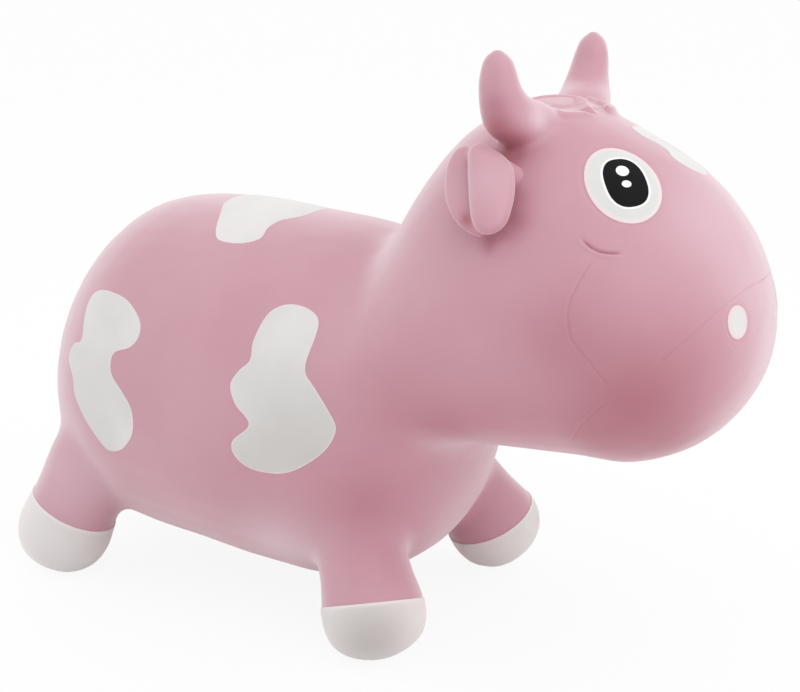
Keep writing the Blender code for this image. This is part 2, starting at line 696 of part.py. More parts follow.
def face(shell):
    place = on_head(EYE_PLACE_SHARES)
    facing = Vector((EYE_FACING[0], -EYE_FACING[1], EYE_FACING[2]))
    middle = (EYE_SHIFT_SHARES[0] * EYE_SIZE[0], EYE_SHIFT_SHARES[1] * EYE_SIZE[1])
    pupil_middle = (PUPIL_SHIFT_SHARES[0] * EYE_SIZE[0], PUPIL_SHIFT_SHARES[1] * EYE_SIZE[1])
    pupil_size = (PUPIL_SIZE_SHARES[0] * EYE_SIZE[0], PUPIL_SIZE_SHARES[1] * EYE_SIZE[1])
    white = painted("eye_white", shell, oval(EYE_SIZE, middle, tilt=EYE_TILT), place, facing)
    holed(white, oval(pupil_size, pupil_middle, GAP, tilt=EYE_TILT), place, facing)
    pupil = painted("eye_pupil", shell, oval(pupil_size, pupil_middle, tilt=EYE_TILT), place, facing)
    for name, share, spot in zip(("upper", "lower"), GLINT_SIZE_SHARES, GLINT_PLACE_SHARES):
        size = (share[0] * EYE_SIZE[0], share[1] * EYE_SIZE[1])
        at = (spot[0] * EYE_SIZE[0], spot[1] * EYE_SIZE[1])
        holed(pupil, oval(size, at, GAP, GLINT_SIDES), place, facing)
        glint = painted("eye_glint", shell, oval(size, at, sides=GLINT_SIDES), place, facing)
        pair(glint, "eye_glint_" + name, WHITE, 0.4)
    pair(white, "eye_white", WHITE, 0.5)
    pair(pupil, "eye_pupil", BLACK, 0.35)
    place = on_head(NOSTRIL_PLACE_SHARES)
    facing = Vector((NOSTRIL_FACING[0], -NOSTRIL_FACING[1], NOSTRIL_FACING[2]))
    nostril = painted("nostril", shell, oval(NOSTRIL_SIZE, sides=NOSTRIL_SIDES), place, facing)
    pair(nostril, "nostril", WHITE, 0.5)


def centre_on_origin():
    """Moves the whole animal so that the origin is under the middle of its bounding box."""
    ends = []
    for obj in bpy.data.objects:
        ends += [obj.location.x + vertex.co.x for vertex in obj.data.vertices]
    middle = (min(ends) + max(ends)) / 2
    for obj in bpy.data.objects:
        if obj.location.length > 0:
            obj.location.x -= middle
        else:
            obj.data.transform(Matrix.Translation((-middle, 0, 0)))


def main():
    empty_scene()
    form = body_form()
    tree = BVHTree.FromObject(form, bpy.context.evaluated_depsgraph_get())
    near_skin = grown(form, "near_skin", GAP, PAINT)
    shell = grown(form, "paint_shell", PAINT + GAP, 0)
    combined(shell, near_skin, "DIFFERENCE", keep_tool=True)
    skin, seat = body_skin(form, tree)
    air_plug(seat)
    horns(tree, near_skin)
    ears(tree, near_skin)
    hooves(shell)
    patches(shell)
    face(shell)
    for helper in (form, near_skin, shell):
        bpy.data.objects.remove(helper)
    centre_on_origin()


main()
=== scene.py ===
import json
import math

import bpy
import numpy as np
from mathutils import Matrix, Vector
from mathutils.bvhtree import BVHTree
from mathutils.kdtree import KDTree

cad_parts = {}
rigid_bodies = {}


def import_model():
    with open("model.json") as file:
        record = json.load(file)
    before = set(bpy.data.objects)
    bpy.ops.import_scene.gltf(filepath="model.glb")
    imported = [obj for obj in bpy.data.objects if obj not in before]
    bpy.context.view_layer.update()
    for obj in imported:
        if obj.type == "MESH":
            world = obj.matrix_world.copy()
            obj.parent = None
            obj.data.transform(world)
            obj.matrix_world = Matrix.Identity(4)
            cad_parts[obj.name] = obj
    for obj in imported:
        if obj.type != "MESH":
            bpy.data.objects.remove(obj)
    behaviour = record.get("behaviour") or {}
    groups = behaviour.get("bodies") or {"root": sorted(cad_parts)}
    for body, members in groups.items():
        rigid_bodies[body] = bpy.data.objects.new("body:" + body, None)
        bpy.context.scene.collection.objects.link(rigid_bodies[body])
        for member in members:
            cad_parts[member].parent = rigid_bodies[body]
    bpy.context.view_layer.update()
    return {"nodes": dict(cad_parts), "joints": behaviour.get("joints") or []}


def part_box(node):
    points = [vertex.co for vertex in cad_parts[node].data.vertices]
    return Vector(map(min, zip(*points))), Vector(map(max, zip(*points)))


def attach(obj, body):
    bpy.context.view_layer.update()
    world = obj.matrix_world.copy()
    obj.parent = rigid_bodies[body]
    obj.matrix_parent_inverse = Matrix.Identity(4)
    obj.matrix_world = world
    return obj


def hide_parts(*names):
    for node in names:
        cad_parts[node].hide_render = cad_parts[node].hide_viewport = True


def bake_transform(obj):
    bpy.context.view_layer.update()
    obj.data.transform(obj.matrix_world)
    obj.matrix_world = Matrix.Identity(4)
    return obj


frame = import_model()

MM = 0.001
SIDES = ((-1, "right"), (1, "left"))

# Camera, at the photograph's viewpoint: the picture and the focal length in pixels, the sensor in mm
IMAGE = (800, 692)
FOCAL = 1500
SENSOR = 36
AZIMUTH = 30.66
ELEVATION = 16.82
DISTANCE = 1.13
TARGET = Vector((0.0114, 0, 0.204))

# Light. The surround is dimmer on one side: how far towards it the fall starts and ends, and both levels
DIM_SIDE = (0.45, -0.88, -0.1)
DIM_RANGE = (-0.1, 0.95)
WORLD_LEVELS = (1.05, 0.56)
# Lamps: name, place, size, power
LAMPS = (
    ("right", (1.5, -0.6, 1.1), 1.8, 9),
    ("top", (0.4, -0.3, 1.9), 2.4, 4.5),
    ("left", (-1.5, -0.8, 0.5), 1.6, 3),
)
LAMP_AIM = Vector((0, 0, 0.2))
# Floor: radius, reflected share, share of pure white where it is seen
FLOOR_RADIUS = 8
FLOOR_WHITE = 0.9
FLOOR_GLOW = 0.9

# Skin: CAD faces merged within this gap and pushed out a little, then remeshed and smoothed
MERGE = 0.02 * MM
SWELL = 0.35 * MM
SKIN_VOXEL = 3.3 * MM
SMOOTHING = 0.5
# Passes away from the horns, growing between these distances from them, and passes on everything
SKIN_SOFTENING = 12
HORN_NEAR = 4 * MM
HORN_FAR = 18 * MM
HORN_SOFTENING = 4
# Softer ring round each horn's seam: middle and half width along the horn, reach from the pivot, passes
HORN_RING = (-6 * MM, 16 * MM)
RING_REACH = 40 * MM
RING_SOFTENING = 10
# Air hole: zone that is closed first, then the seat round the plug's flange and the hole for its stem
PLUG_ZONE = 15 * MM
SEAT_SIDES = 64
SEAT_GAP = 0.3 * MM
SEAT_TOP = 2.3 * MM
SEAT_DEPTH = 14 * MM
HOLE_RADIUS = 3.8 * MM
HOLE_DEPTH = 12 * MM

# Horns: the way each stands, its reach from the pivot, and the seam
HORN_FACING = Vector((0, 0.3, 0.954))
HORN_REACH = 62 * MM
HORN_SEAM = -22 * MM
# Ears: the form's finish
EAR_VOXEL = 1.2 * MM
EAR_SOFTENING = 18
EAR_SWELL = 0.7 * MM
# Ear lobes are cushions on a plane: their fullness (lower is fuller) and rings from pole to pole
EAR_FULL = 0.62
EAR_RINGS = 16
EAR_PLANE = (131 * MM, -94 * MM, 348 * MM)
EAR_PLANE_FACING = (0.25, -0.76, 0.60)
# Outline through pixels of the photograph, then in mm the place before the plane, and the thickness both ways
EAR_LOBES = (
    (((471, 149), (481, 145.5), (495, 152), (507, 160.5), (513, 172), (514, 190), (511, 206), (506, 221),
      (497, 230), (485, 233), (477, 229), (472.5, 219), (470.5, 203), (469.5, 185), (469, 165)),
     1.5, 9.5, 10),
    (((457, 150), (449, 163), (446, 177), (445.5, 190), (447.5, 203), (453, 216), (461, 226), (471, 233),
      (482, 235), (488, 222), (486, 195), (482, 168), (476, 152), (466, 147)),
     -8.5, 6.5, 7),
)
# Ear ridge and roots, each a row of balls: middles and radii in mm, then the spacing and the balls' detail
EAR_BARS = (
    ((112, -74, 364, 9), (120, -79, 365, 8), (127, -78.5, 362, 8), (134, -74, 358, 8), (139.5, -67, 353, 7)),
    ((118, -68, 360, 12), (127, -72, 354, 11), (133, -72, 349, 8)),
    ((114, -80, 354, 9), (124, -82, 350, 10), (129, -85, 344, 9)),
)
BALL_STEP = 2
BALL_DETAIL = 3

# Feet, as in the solids: place and radius, slope of the leg, height of the paint line
FRONT_FOOT = (43.41 * MM, 93 * MM, 38.5 * MM)
REAR_FOOT = (-251.30 * MM, 93 * MM, 37 * MM)
SOLE_FLAT = 2 * MM
FRONT_LEAN = (0.34, 0.36)
REAR_LEAN = (-0.46, 0.26)
FRONT_HOOF = 41 * MM
REAR_HOOF = 55 * MM
# Hoof coat: radius and height that it's cut from, thickness over and under the skin, edges in mm and degrees
HOOF_ZONE = (70 * MM, 95 * MM)
HOOF_COAT = 0.9 * MM
HOOF_DEPTH = 0.5 * MM
HOOF_BEVEL = 0.5 * MM
HOOF_CORNER = 55
HOOF_SHARP = 60
# Greyer place on the front hoof: pixel of the photograph, radius in mm
HOOF_GREY = ((372, 636), 30)

# Painted patches, as in the solids: size, place, facing, outline in shares of the size
SIDE_PATCH = ((83 * MM, 115 * MM), (-15.32 * MM, -128 * MM, 195 * MM), (0, -1, 0), (
    (-0.09, 0.50), (0.07, 0.48), (0.18, 0.43), (0.20, 0.34), (0.18, 0.16), (0.32, 0.05), (0.46, -0.08),
    (0.50, -0.18), (0.40, -0.32), (0.20, -0.44), (0.00, -0.50), (-0.26, -0.50), (-0.42, -0.44),
    (-0.45, -0.34), (-0.28, -0.21), (-0.43, -0.10), (-0.50, 0.01), (-0.44, 0.10), (-0.35, 0.17),
    (-0.36, 0.28), (-0.31, 0.42), (-0.22, 0.48),
))
RUMP_PATCH = ((78 * MM, 118 * MM), (-183.32 * MM, -128 * MM, 183 * MM), (0, -1, 0), (
    (-0.08, 0.50), (0.22, 0.48), (0.45, 0.39), (0.50, 0.30), (0.42, 0.22), (0.22, 0.16), (0.21, 0.04),
    (0.38, -0.07), (0.50, -0.18), (0.48, -0.33), (0.31, -0.46), (0.13, -0.50), (0.00, -0.45),
    (-0.32, -0.21), (-0.38, -0.08), (-0.50, 0.03), (-0.43, 0.13), (-0.29, 0.18), (-0.32, 0.30),
    (-0.33, 0.40), (-0.26, 0.47),
))
BACK_PATCH_HALF = (
    (-0.46, 0.00), (-0.44, -0.14), (-0.32, -0.30), (-0.20, -0.45), (-0.09, -0.50), (0.12, -0.49),
    (0.27, -0.43), (0.26, -0.33), (0.30, -0.24), (0.42, -0.14), (0.46, 0.00),
)
BACK_PATCH = ((82 * MM, 124 * MM), (-99.32 * MM, 0, 305 * MM), (0, 0, 1), (
    *BACK_PATCH_HALF, *((u, -v) for u, v in reversed(BACK_PATCH_HALF) if v),
))
FOREHEAD_PATCH = ((54 * MM, 34 * MM), (212.68 * MM, 9 * MM, 367.5 * MM), (0, 0, 1), (
    (-0.46, 0.00), (-0.42, -0.26), (-0.24, -0.34), (-0.08, -0.29), (0.06, -0.32), (0.16, -0.46),
    (0.30, -0.44), (0.44, -0.26), (0.50, 0.00), (0.40, 0.24), (0.20, 0.22), (0.02, 0.12), (-0.14, 0.16),
    (-0.28, 0.36), (-0.42, 0.24),
))
# Points between two of an outline's own, and points of an oval
OUTLINE_STEPS = 6
OVAL_POINTS = 72

# Paint coats: thickness over and under the skin, faces divided above this area, sharp edges in degrees
PAINT_LIFT = 0.25 * MM
PAINT_DEPTH = 0.6 * MM
COARSE = (1.6 * MM) ** 2
PAINT_SHARP = 40
# Skin that a coat is cut from: margin round its outline, least turn towards its facing
PAINT_MARGIN = 4 * MM
PAINT_FACING = 0.05
# Reach on both sides of the coat's plane, and cuts in its coarse faces
PATCH_REACH = 80 * MM
PATCH_CUTS = 1
FACE_REACH = 40 * MM
FACE_CUTS = 2

# Face
EYE_PLACE = (207.18 * MM, -53 * MM, 354.5 * MM)
EYE_FACING = (0.41, -0.54, 0.73)
EYE_SIZE = (47.4 * MM, 60 * MM)
EYE_TILT = 14
EYE_RAISED = 0.03
# Parts of the eye: size and middle in shares of the eye's size, tilt, squareness (lower is squarer), lift
EYE_PARTS = {
    "eye_white": ((1, 1), (0, EYE_RAISED), EYE_TILT, 1.0, PAINT_LIFT),
    "eye_pupil": ((0.565, 0.635), (0.035, 0.04), 8, 0.82, 0.4 * MM),
    "eye_glint_upper": ((0.18, 0.14), (0.02, 0.185), 0, 1.0, 0.55 * MM),
    "eye_glint_lower": ((0.13, 0.09), (0.04, 0.01), 0, 1.0, 0.55 * MM),
}
NOSTRIL_PLACE = (281.9 * MM, -39.2 * MM, 271.5 * MM)
NOSTRIL_FACING = (0.92, -0.33, 0.20)
NOSTRIL_SIZE = (19 * MM, 21.5 * MM)

# Lines moulded in the skin: pixels of the photograph, then depth, width and height of the lip in mm
LINES = (
    (((579, 235), (584, 241.5), (591, 247.5), (599, 251.5), (612, 253.5), (626, 252.6)), 1.6, 1.9, 0.6),
    (((600, 244), (607, 246), (617, 245.5)), 0.4, 1.4, 0.2),
    (((596, 257), (588, 267), (580, 280), (570, 300), (567, 316), (570, 338), (580, 351), (590, 362),
      (600, 376), (614, 390)), 0.5, 1.7, 0.3),
    (((608, 400), (590, 416), (580, 426), (570, 442)), 0.45, 1.6, 0.25),
    (((652, 368), (680, 345), (708, 320), (728, 303), (744, 290), (766, 277)), 0.38, 1.4, 0.2),
    (((727, 339), (731, 345), (737, 351)), 0.4, 1.3, 0.15),
)
# A line's profile, in shares of its width: half width of the groove, place and half width of the lip
GROOVE_WIDTH = 0.55
LIP_PLACE = 1.25
LIP_WIDTH = 0.7
# Spacing of a line's points, passes that smooth them, fade at its ends, and the skin divided round it
LINE_STEP = 0.6 * MM
LINE_SOFTENING = 12
LINE_FADE = 9 * MM
LINE_REACH = 4.5 * MM
LINE_CUTS = 3
# Forelock, seen from above in mm: points, height and half width of tufts. Pits have a negative height
TUFTS = (
    (((112, -16), (122, -7), (134, 2), (148, 6)), 2.4, 11.0),
    (((118, -10), (128, -2), (138, 4), (148, 5), (154, 1), (159, -5), (164, -13)), 3.6, 4.6),
    (((146, -27), (153, -24.5), (159, -20), (165, -13)), 1.5, 3.6),
    (((148, 16), (154, 23), (161, 23), (167, 17), (169, 9), (167, 3)), 4.4, 4.6),
    (((137, -18), (146, -18), (153, -12)), -0.8, 3.4),
    (((160, -2), (162, 0), (163, 3)), -1.5, 3.6),
)
# Tufts: reach in half widths, share of the height that their ends keep, length over which they rise
TUFT_REACH = 2.6
TUFT_BLUNT = 0.25
TUFT_FADE = 5 * MM
# Shallow groove round eye and nostril paint, found by rays from this far before it
RIM_START = 0.1
RIM_GAP = 1.2 * MM
RIM_DEPTH = 0.45 * MM
RIM_WIDTH = 1.6 * MM

# Creases for painted shade, against the skin after these smoothing passes: depth of a full one, and the edge
# lengths of meshes that are too coarse and fine enough to show one
CREASE_STEPS = 14
CREASE_DEPTH = 0.35 * MM
CREASE_MESH = (1.8 * MM, 1.1 * MM)

# Painted shade as deeper pink, or painted highlight as paler pink below 0, on both sides: pixel of the
# photograph, radius in mm, share
SHADE_AND_HIGHLIGHT_SPOTS = (
    # Painted shade on jaw, chest, belly and legs
    ((640, 405), 42, 0.85), ((600, 440), 34, 0.6), ((665, 445), 30, 0.75), ((565, 345), 36, 0.45),
    ((690, 350), 44, 0.3), ((500, 415), 40, 0.35), ((450, 432), 26, 0.5), ((400, 400), 40, 0.35),
    ((365, 500), 40, 0.5), ((285, 440), 40, 0.15), ((245, 500), 40, 0.15),
    # Painted shade at the horn root and round the ear
    ((509, 142), 11, 1.0), ((499, 125), 9, 0.75), ((495, 105), 9, 0.5), ((466, 220), 5, 0.8),
    ((487, 240), 6, 0.8), ((497, 234), 5, 0.6), ((489, 248), 4, 0.5), ((519, 195), 6, 0.3),
    ((516, 220), 7, 0.4),
    # Painted highlights, paler
    ((748, 285), 34, -0.35), ((710, 215), 34, -0.38), ((772, 330), 28, -0.3), ((539, 120), 10, -0.75),
    ((285, 545), 34, -0.7), ((490, 520), 34, -0.95), ((512, 500), 24, -0.6), ((78, 480), 40, -0.35),
    ((594, 70), 16, -0.7), ((597, 50), 14, -0.5), ((482, 180), 16, -0.2),
)

# Painted shade in folds, where the pink is deeper: a coarse mesh, and rays that look for skin nearby
FOLD_VOXEL = 5 * MM
FOLD_REACH = 60 * MM
FOLD_GAP = 1 * MM
FOLD_RAYS = 14
GOLDEN_ANGLE = 2.39996
ASIDE = (0.31, 0.17, 0.93)
# Places of that mesh that are averaged, places that a vertex takes its share from and how much they blur,
# and the share of the painted shade that a painted highlight spot takes away
FOLD_MEAN = 9
FOLD_NEAR = 4
FOLD_BLUR = 0.5 * MM
FOLD_CLEAR = 0.9
# What faces down gets painted shade too, as if folded: by how much, and from which upward turn
UNDER_SHARE = 0.25
UNDER_START = 0.15

# Noises of the vinyl's surface: scale, detail, roughness. Clouds run from deep to pale over this range
SURFACE_NOISES = (("Cloud", 14, 3, 0.55), ("Speckle", 900, 2, 0.55), ("Grain", 420, 4, 0.5))
CLOUD_RANGE = (0.3, 0.7)
ROUGHNESS = (0.45, 0.55)
GRAIN_HEIGHT = 0.1 * MM
SHEEN_ROUGHNESS = 0.5
# Accents: mark on the mesh, its values for none and all of the tint, the tint, its greatest share.
# Painted sheen: tint of what is seen at a slant, the slant at which it starts, its greatest share
FINISHES = {
    "pink_vinyl": {
        "deep_tone_and_shade": (0.565, 0.297, 0.358), "pale_tone_and_highlight": (0.59, 0.322, 0.383), "grain": 0.12, "sheen": 0.25,
        "accents": (
            # Painted shade: deeper pink in folds and where the skin faces down
            ("fold_shade", 0.06, 0.6, (0.52, 0.165, 0.215), 0.9),
            # Painted highlights on the pale spots
            ("pale_tone_and_highlight", 0.0, 1.0, (0.76, 0.58, 0.64), 1.0),
            # Painted shade on the deep spots
            ("deep_tone_and_shade", 0.0, 1.0, (0.40, 0.125, 0.16), 1.0),
            # Painted shade in creases
            ("crease_shade", 0.2, 1.5, (0.42, 0.12, 0.16), 0.55),
        ),
        # Painted sheen at a slant
        "painted_sheen": ((0.86, 0.74, 0.77), 0.35, 0.5),
    },
    "white_paint": {
        "deep_tone_and_shade": (0.68, 0.665, 0.655), "pale_tone_and_highlight": (0.76, 0.745, 0.74), "specular": 0.4,
        "accents": (
            # Painted shade on the deep spots, carried over from the skin
            ("deep_tone_and_shade", 0.0, 0.3, (0.50, 0.48, 0.46), 0.9),
            ("edge", 1.4, 0.2, (0.80, 0.70, 0.71), 0.6),
        ),
    },
    "eye_paint": {
        "deep_tone_and_shade": (0.67, 0.67, 0.66), "pale_tone_and_highlight": (0.72, 0.72, 0.71), "specular": 0.4,
        "accents": (
            ("edge", 3.4, 0.8, (0.84, 0.70, 0.71), 0.8),
            ("ring", 1.9, 0.9, (0.93, 0.93, 0.93), 1.0),
        ),
    },
    "nostril_paint": {
        "deep_tone_and_shade": (0.66, 0.65, 0.64), "pale_tone_and_highlight": (0.72, 0.71, 0.70), "specular": 0.4,
        "accents": (("edge", 3.4, 0.6, (0.80, 0.62, 0.64), 0.9),),
    },
    "hoof_paint": {
        "deep_tone_and_shade": (0.73, 0.70, 0.69), "pale_tone_and_highlight": (0.80, 0.77, 0.76), "specular": 0.4,
        "accents": (
            ("grey", 0.0, 1.0, (0.47, 0.43, 0.42), 0.8),
            ("edge", 3.0, 0.6, (0.84, 0.79, 0.79), 0.8),
        ),
        # Painted sheen at a slant
        "painted_sheen": ((0.86, 0.80, 0.80), 0.3, 0.6),
    },
    "black_paint": {"deep_tone_and_shade": (0.006, 0.005, 0.006), "pale_tone_and_highlight": (0.010, 0.009, 0.010), "specular": 0.1},
}


def only(*objects):
    """Selects these objects and nothing else, with the first one active."""
    if bpy.context.object is not None and bpy.context.object.mode != "OBJECT":
        bpy.ops.object.mode_set(mode="OBJECT")
    bpy.ops.object.select_all(action="DESELECT")
    for obj in objects:
        obj.select_set(True)
    bpy.context.view_layer.objects.active = objects[0]


def linked(name, mesh):
    obj = bpy.data.objects.new(name, mesh)
    bpy.context.scene.collection.objects.link(obj)
    return obj


def copied(obj, name):
    return linked(name, obj.data.copy())


def applied(obj, kind, **settings):
    only(obj)
    modifier = obj.modifiers.new(kind.lower(), kind)
    for key, value in settings.items():
        setattr(modifier, key, value)
    bpy.ops.object.modifier_apply(modifier=modifier.name)
    return obj


def softened(obj, passes, **settings):
    return applied(obj, "SMOOTH", factor=SMOOTHING, iterations=passes, **settings)


def edited(obj, *steps):
    """Runs edit-mode steps on an object, each a function of no arguments."""
    only(obj)
    bpy.ops.object.mode_set(mode="EDIT")
    for step in steps:
        step()
    bpy.ops.object.mode_set(mode="OBJECT")
    return obj


def choose_all():
    bpy.ops.mesh.select_all(action="SELECT")


def choose(obj, element, mask):
    """Selects the vertices or polygons of a mask, and nothing else."""
    only(obj)
    for name in ("vertices", "edges", "polygons"):
        items = getattr(obj.data, name)
        items.foreach_set("select", np.asarray(mask, bool) if name == element else np.zeros(len(items), bool))
    bpy.context.tool_settings.mesh_select_mode = (element == "vertices", False, element == "polygons")


def values(items, key, width=3):
    out = np.empty(len(items) * width, np.float32)
    items.foreach_get(key, out)
    return out.reshape(-1, width).astype(float) if width > 1 else out


def drop_faces(obj, mask):
    choose(obj, "polygons", mask)
    return edited(obj, lambda: bpy.ops.mesh.delete(type="FACE"))


def keep_furthest(obj, direction):
    """Keeps the connected part of a mesh that reaches furthest this way."""
    co = values(obj.data.vertices, "co")
    mask = np.zeros(len(co), bool)
    mask[np.argmax(co @ direction)] = True
    choose(obj, "vertices", mask)
    return edited(
        obj,
        lambda: bpy.ops.mesh.select_linked(),
        lambda: bpy.ops.mesh.select_all(action="INVERT"),
        lambda: bpy.ops.mesh.delete(type="VERT"),
    )


def close_holes(obj):
    return edited(obj, choose_all, lambda: bpy.ops.mesh.fill_holes(sides=0))


def outwards(obj):
    return edited(obj, choose_all, lambda: bpy.ops.mesh.normals_make_consistent(inside=False))


def node_copy(name, *nodes):
    """One mesh with the faces of these CAD nodes, its doubles merged."""
    parts = [linked(name, frame["nodes"][node].data.copy()) for node in nodes]
    only(*parts)
    if len(parts) > 1:
        bpy.ops.object.join()
    parts[0].data.materials.clear()
    return edited(parts[0], choose_all, lambda: bpy.ops.mesh.remove_doubles(threshold=MERGE))


def joined(first, *others):
    only(first, *others)
    bpy.ops.object.join()
    return first


def discard(*objects):
    for obj in objects:
        bpy.data.objects.remove(obj)


def with_material(obj, material):
    obj.data.materials.clear()
    obj.data.materials.append(material)
    return obj


def tree_of(obj):
    return BVHTree.FromObject(obj, bpy.context.evaluated_depsgraph_get())


def smoothstep(x):
    x = np.clip(x, 0, 1)
    return x * x * (3 - 2 * x)


def bell(x):
    return np.exp(-(x**2))


# Camera


def camera_axes():
    a, e = math.radians(AZIMUTH), math.radians(ELEVATION)
    back = Vector((math.sin(a) * math.cos(e), -math.cos(a) * math.cos(e), math.sin(e)))
    right = Vector((0, 0, 1)).cross(back).normalized()
    return back, right, back.cross(right)


def add_camera():
    back = camera_axes()[0]
    data = bpy.data.cameras.new("camera")
    data.sensor_width = SENSOR
    data.lens = FOCAL * SENSOR / IMAGE[0]
    obj = linked("camera", data)
    obj.location = TARGET + back * DISTANCE
    obj.rotation_euler = (-back).to_track_quat("-Z", "Y").to_euler()
    bpy.context.scene.camera = obj


def sight_line(px, py):
    """The camera's place and the direction through a pixel of the photograph."""
    back, right, up = camera_axes()
    direction = -back * FOCAL + right * (px - IMAGE[0] / 2) + up * (IMAGE[1] / 2 - py)
    return TARGET + back * DISTANCE, direction.normalized()


def on_plane(pixel, place, facing):
    """The point of a plane that a pixel of the photograph shows."""
    start, direction = sight_line(*pixel)
    return start + direction * ((place - start).dot(facing) / direction.dot(facing))


# Flat outlines


def curve_weights(t):
    """How much each of four points weighs at a share t of the way from the second to the third."""
    return (
        (-t + 2 * t * t - t**3) / 2,
        (2 - 5 * t * t + 3 * t**3) / 2,
        (t + 4 * t * t - 3 * t**3) / 2,
        (t**3 - t * t) / 2,
    )


def rounded(outline):
    """A smooth closed curve through the outline's points."""
    out = []
    for i in range(len(outline)):
        four = [outline[(i + k) % len(outline)] for k in (-1, 0, 1, 2)]
        for k in range(OUTLINE_STEPS):
            weights = curve_weights(k / OUTLINE_STEPS)
            out.append(tuple(sum(w * p[n] for w, p in zip(weights, four)) for n in (0, 1)))
    return out


def oval(size, middle=(0, 0), tilt=0, square=1.0):
    """An oval, fuller in its corners where square is below 1."""
    lean = math.radians(tilt)
    points = []
    for i in range(OVAL_POINTS):
        turn = math.tau * i / OVAL_POINTS
        c, n = math.cos(turn), math.sin(turn)
        u = size[0] / 2 * math.copysign(abs(c) ** square, c)
        v = size[1] / 2 * math.copysign(abs(n) ** square, n)
        points.append((
            middle[0] + u * math.cos(lean) - v * math.sin(lean),
            middle[1] + u * math.sin(lean) + v * math.cos(lean),
        ))
    return points


def eye_outline(part):
    share, middle, tilt, square, _ = EYE_PARTS[part]
    size, middle = (tuple(s * full for s, full in zip(shares, EYE_SIZE)) for shares in (share, middle))
    return oval(size, middle, tilt, square)


def facing_axes(facing):
    """The directions across and up a plane that faces this way."""
    facing = Vector(facing).normalized()
    across = Vector((0, 0, 1)).cross(facing)
    across = across.normalized() if across.length > 0.01 else Vector((1, 0, 0))
    return across, facing.cross(across)


# Skin


def outer_shell():
    """The outside of the hollow wall, closed over the air hole."""
    skin = node_copy("whole", "body_skin")
    low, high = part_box("air_plug")
    middle = (low + high) / 2
    centres = values(skin.data.polygons, "center")
    near = np.hypot(centres[:, 0] - middle.x, centres[:, 1] - middle.y) < PLUG_ZONE
    drop_faces(skin, near & (centres[:, 2] < high.z + PLUG_ZONE))
    keep_furthest(skin, (1, 0, 0))
    close_holes(skin)
    return applied(skin, "DISPLACE", strength=SWELL, mid_level=0)


def pivot(joint):
    return Vector(next(j["pos_m"] for j in frame["joints"] if j["name"] == joint))


def sided(vector, side):
    return Vector((vector[0], vector[1] * side, vector[2]))


def grouped(obj, name, shares):
    """Stores shares as a vertex group and returns its name."""
    group = obj.vertex_groups.new(name=name)
    for i, share in enumerate(shares):
        group.add([i], float(share), "REPLACE")
    return group.name


def moulded_skin():
    """The whole outside with horns in one surface, softened where it is broad."""
    skin = outer_shell()
    horns = node_copy("horn_forms", "horn_right", "horn_root_right", "horn_left", "horn_root_left")
    applied(horns, "DISPLACE", strength=SWELL, mid_level=0)
    near_horn = tree_of(horns)
    joined(skin, horns)
    applied(skin, "REMESH", mode="VOXEL", voxel_size=SKIN_VOXEL)
    keep_furthest(skin, (1, 0, 0))
    shares = []
    for vertex in skin.data.vertices:
        found = near_horn.find_nearest(vertex.co, HORN_FAR)[3]
        distance = HORN_FAR if found is None else found
        shares.append(smoothstep((distance - HORN_NEAR) / (HORN_FAR - HORN_NEAR)))
    softened(skin, SKIN_SOFTENING, vertex_group=grouped(skin, "soft", shares))
    softened(skin, HORN_SOFTENING)
    facing = HORN_FACING.normalized()
    middle = pivot("horn_sway_left")
    shares = []
    for vertex in skin.data.vertices:
        place = Vector((vertex.co.x, abs(vertex.co.y), vertex.co.z)) - middle
        aside = abs(place.dot(facing) - HORN_RING[0]) / HORN_RING[1]
        shares.append(1 - smoothstep(aside) if place.length < RING_REACH else 0)
    softened(skin, RING_SOFTENING, vertex_group=grouped(skin, "ring", shares))
    skin.vertex_groups.clear()
    return skin


def stroke(tree, sights):
    """Evenly spaced points on the skin, along a line through the places that these sights meet."""
    rough = np.array([tree.ray_cast(*sight)[0] for sight in sights])
    steps = np.r_[0, np.cumsum(np.linalg.norm(np.diff(rough, axis=0), axis=1))]
    even = np.arange(0, steps[-1], LINE_STEP)
    fine = np.stack([np.interp(even, steps, rough[:, k]) for k in range(3)], 1)
    for _ in range(LINE_SOFTENING):
        fine[1:-1] = (fine[:-2] + 2 * fine[1:-1] + fine[2:]) / 4
    return np.array([tree.find_nearest(Vector(p))[0] for p in fine])


def near_rows(points, co, reach):
    """Places within reach of a line: their rows, the nearest point and how far it is."""
    low, high = points.min(0) - reach, points.max(0) + reach
    rows = np.nonzero(((co > low) & (co < high)).all(1))[0]
    gaps = np.linalg.norm(co[rows, None] - points[None], axis=2)
    close = gaps.min(1) < reach
    return rows[close], gaps[close].argmin(1), gaps[close].min(1)


def steps_to_end(points, nearest):
    return np.minimum(nearest, len(points) - 1 - nearest)


def line_strokes(tree):
    """The moulded lines on both sides: points, depth, width, lip and side."""
    lines = []
    for pixels, depth, width, lip in LINES:
        points = stroke(tree, [sight_line(*pixel) for pixel in pixels])
        for side in (1, -1):
            lines.append((points * (1, side, 1), depth * MM, width * MM, lip * MM, side))
    return lines


def tuft_strokes(tree):
    """The forelock's tufts and pits: points, height and half width."""
    tufts = []
    for places, height, width in TUFTS:
        sights = [(Vector((x * MM, y * MM, 1)), Vector((0, 0, -1))) for x, y in places]
        tufts.append((stroke(tree, sights), height * MM, width * MM))
    return tufts


def rim_strokes(tree):
    """The rings round eyes and nostrils, on both sides."""
    rims = []
    for place, facing, size, middle, tilt in (
        (EYE_PLACE, EYE_FACING, EYE_SIZE, (0, EYE_RAISED * EYE_SIZE[1]), EYE_TILT),
        (NOSTRIL_PLACE, NOSTRIL_FACING, NOSTRIL_SIZE, (0, 0), 0),
    ):
        across, up = facing_axes(facing)
        away = Vector(facing).normalized()
        wide = (size[0] + 2 * RIM_GAP, size[1] + 2 * RIM_GAP)
        starts = [Vector(place) + across * u + up * v + away * RIM_START for u, v in oval(wide, middle, tilt)]
        ring = stroke(tree, [(start, -away) for start in (*starts, starts[0])])
        rims += [ring, ring * (1, -1, 1)]
    return rims


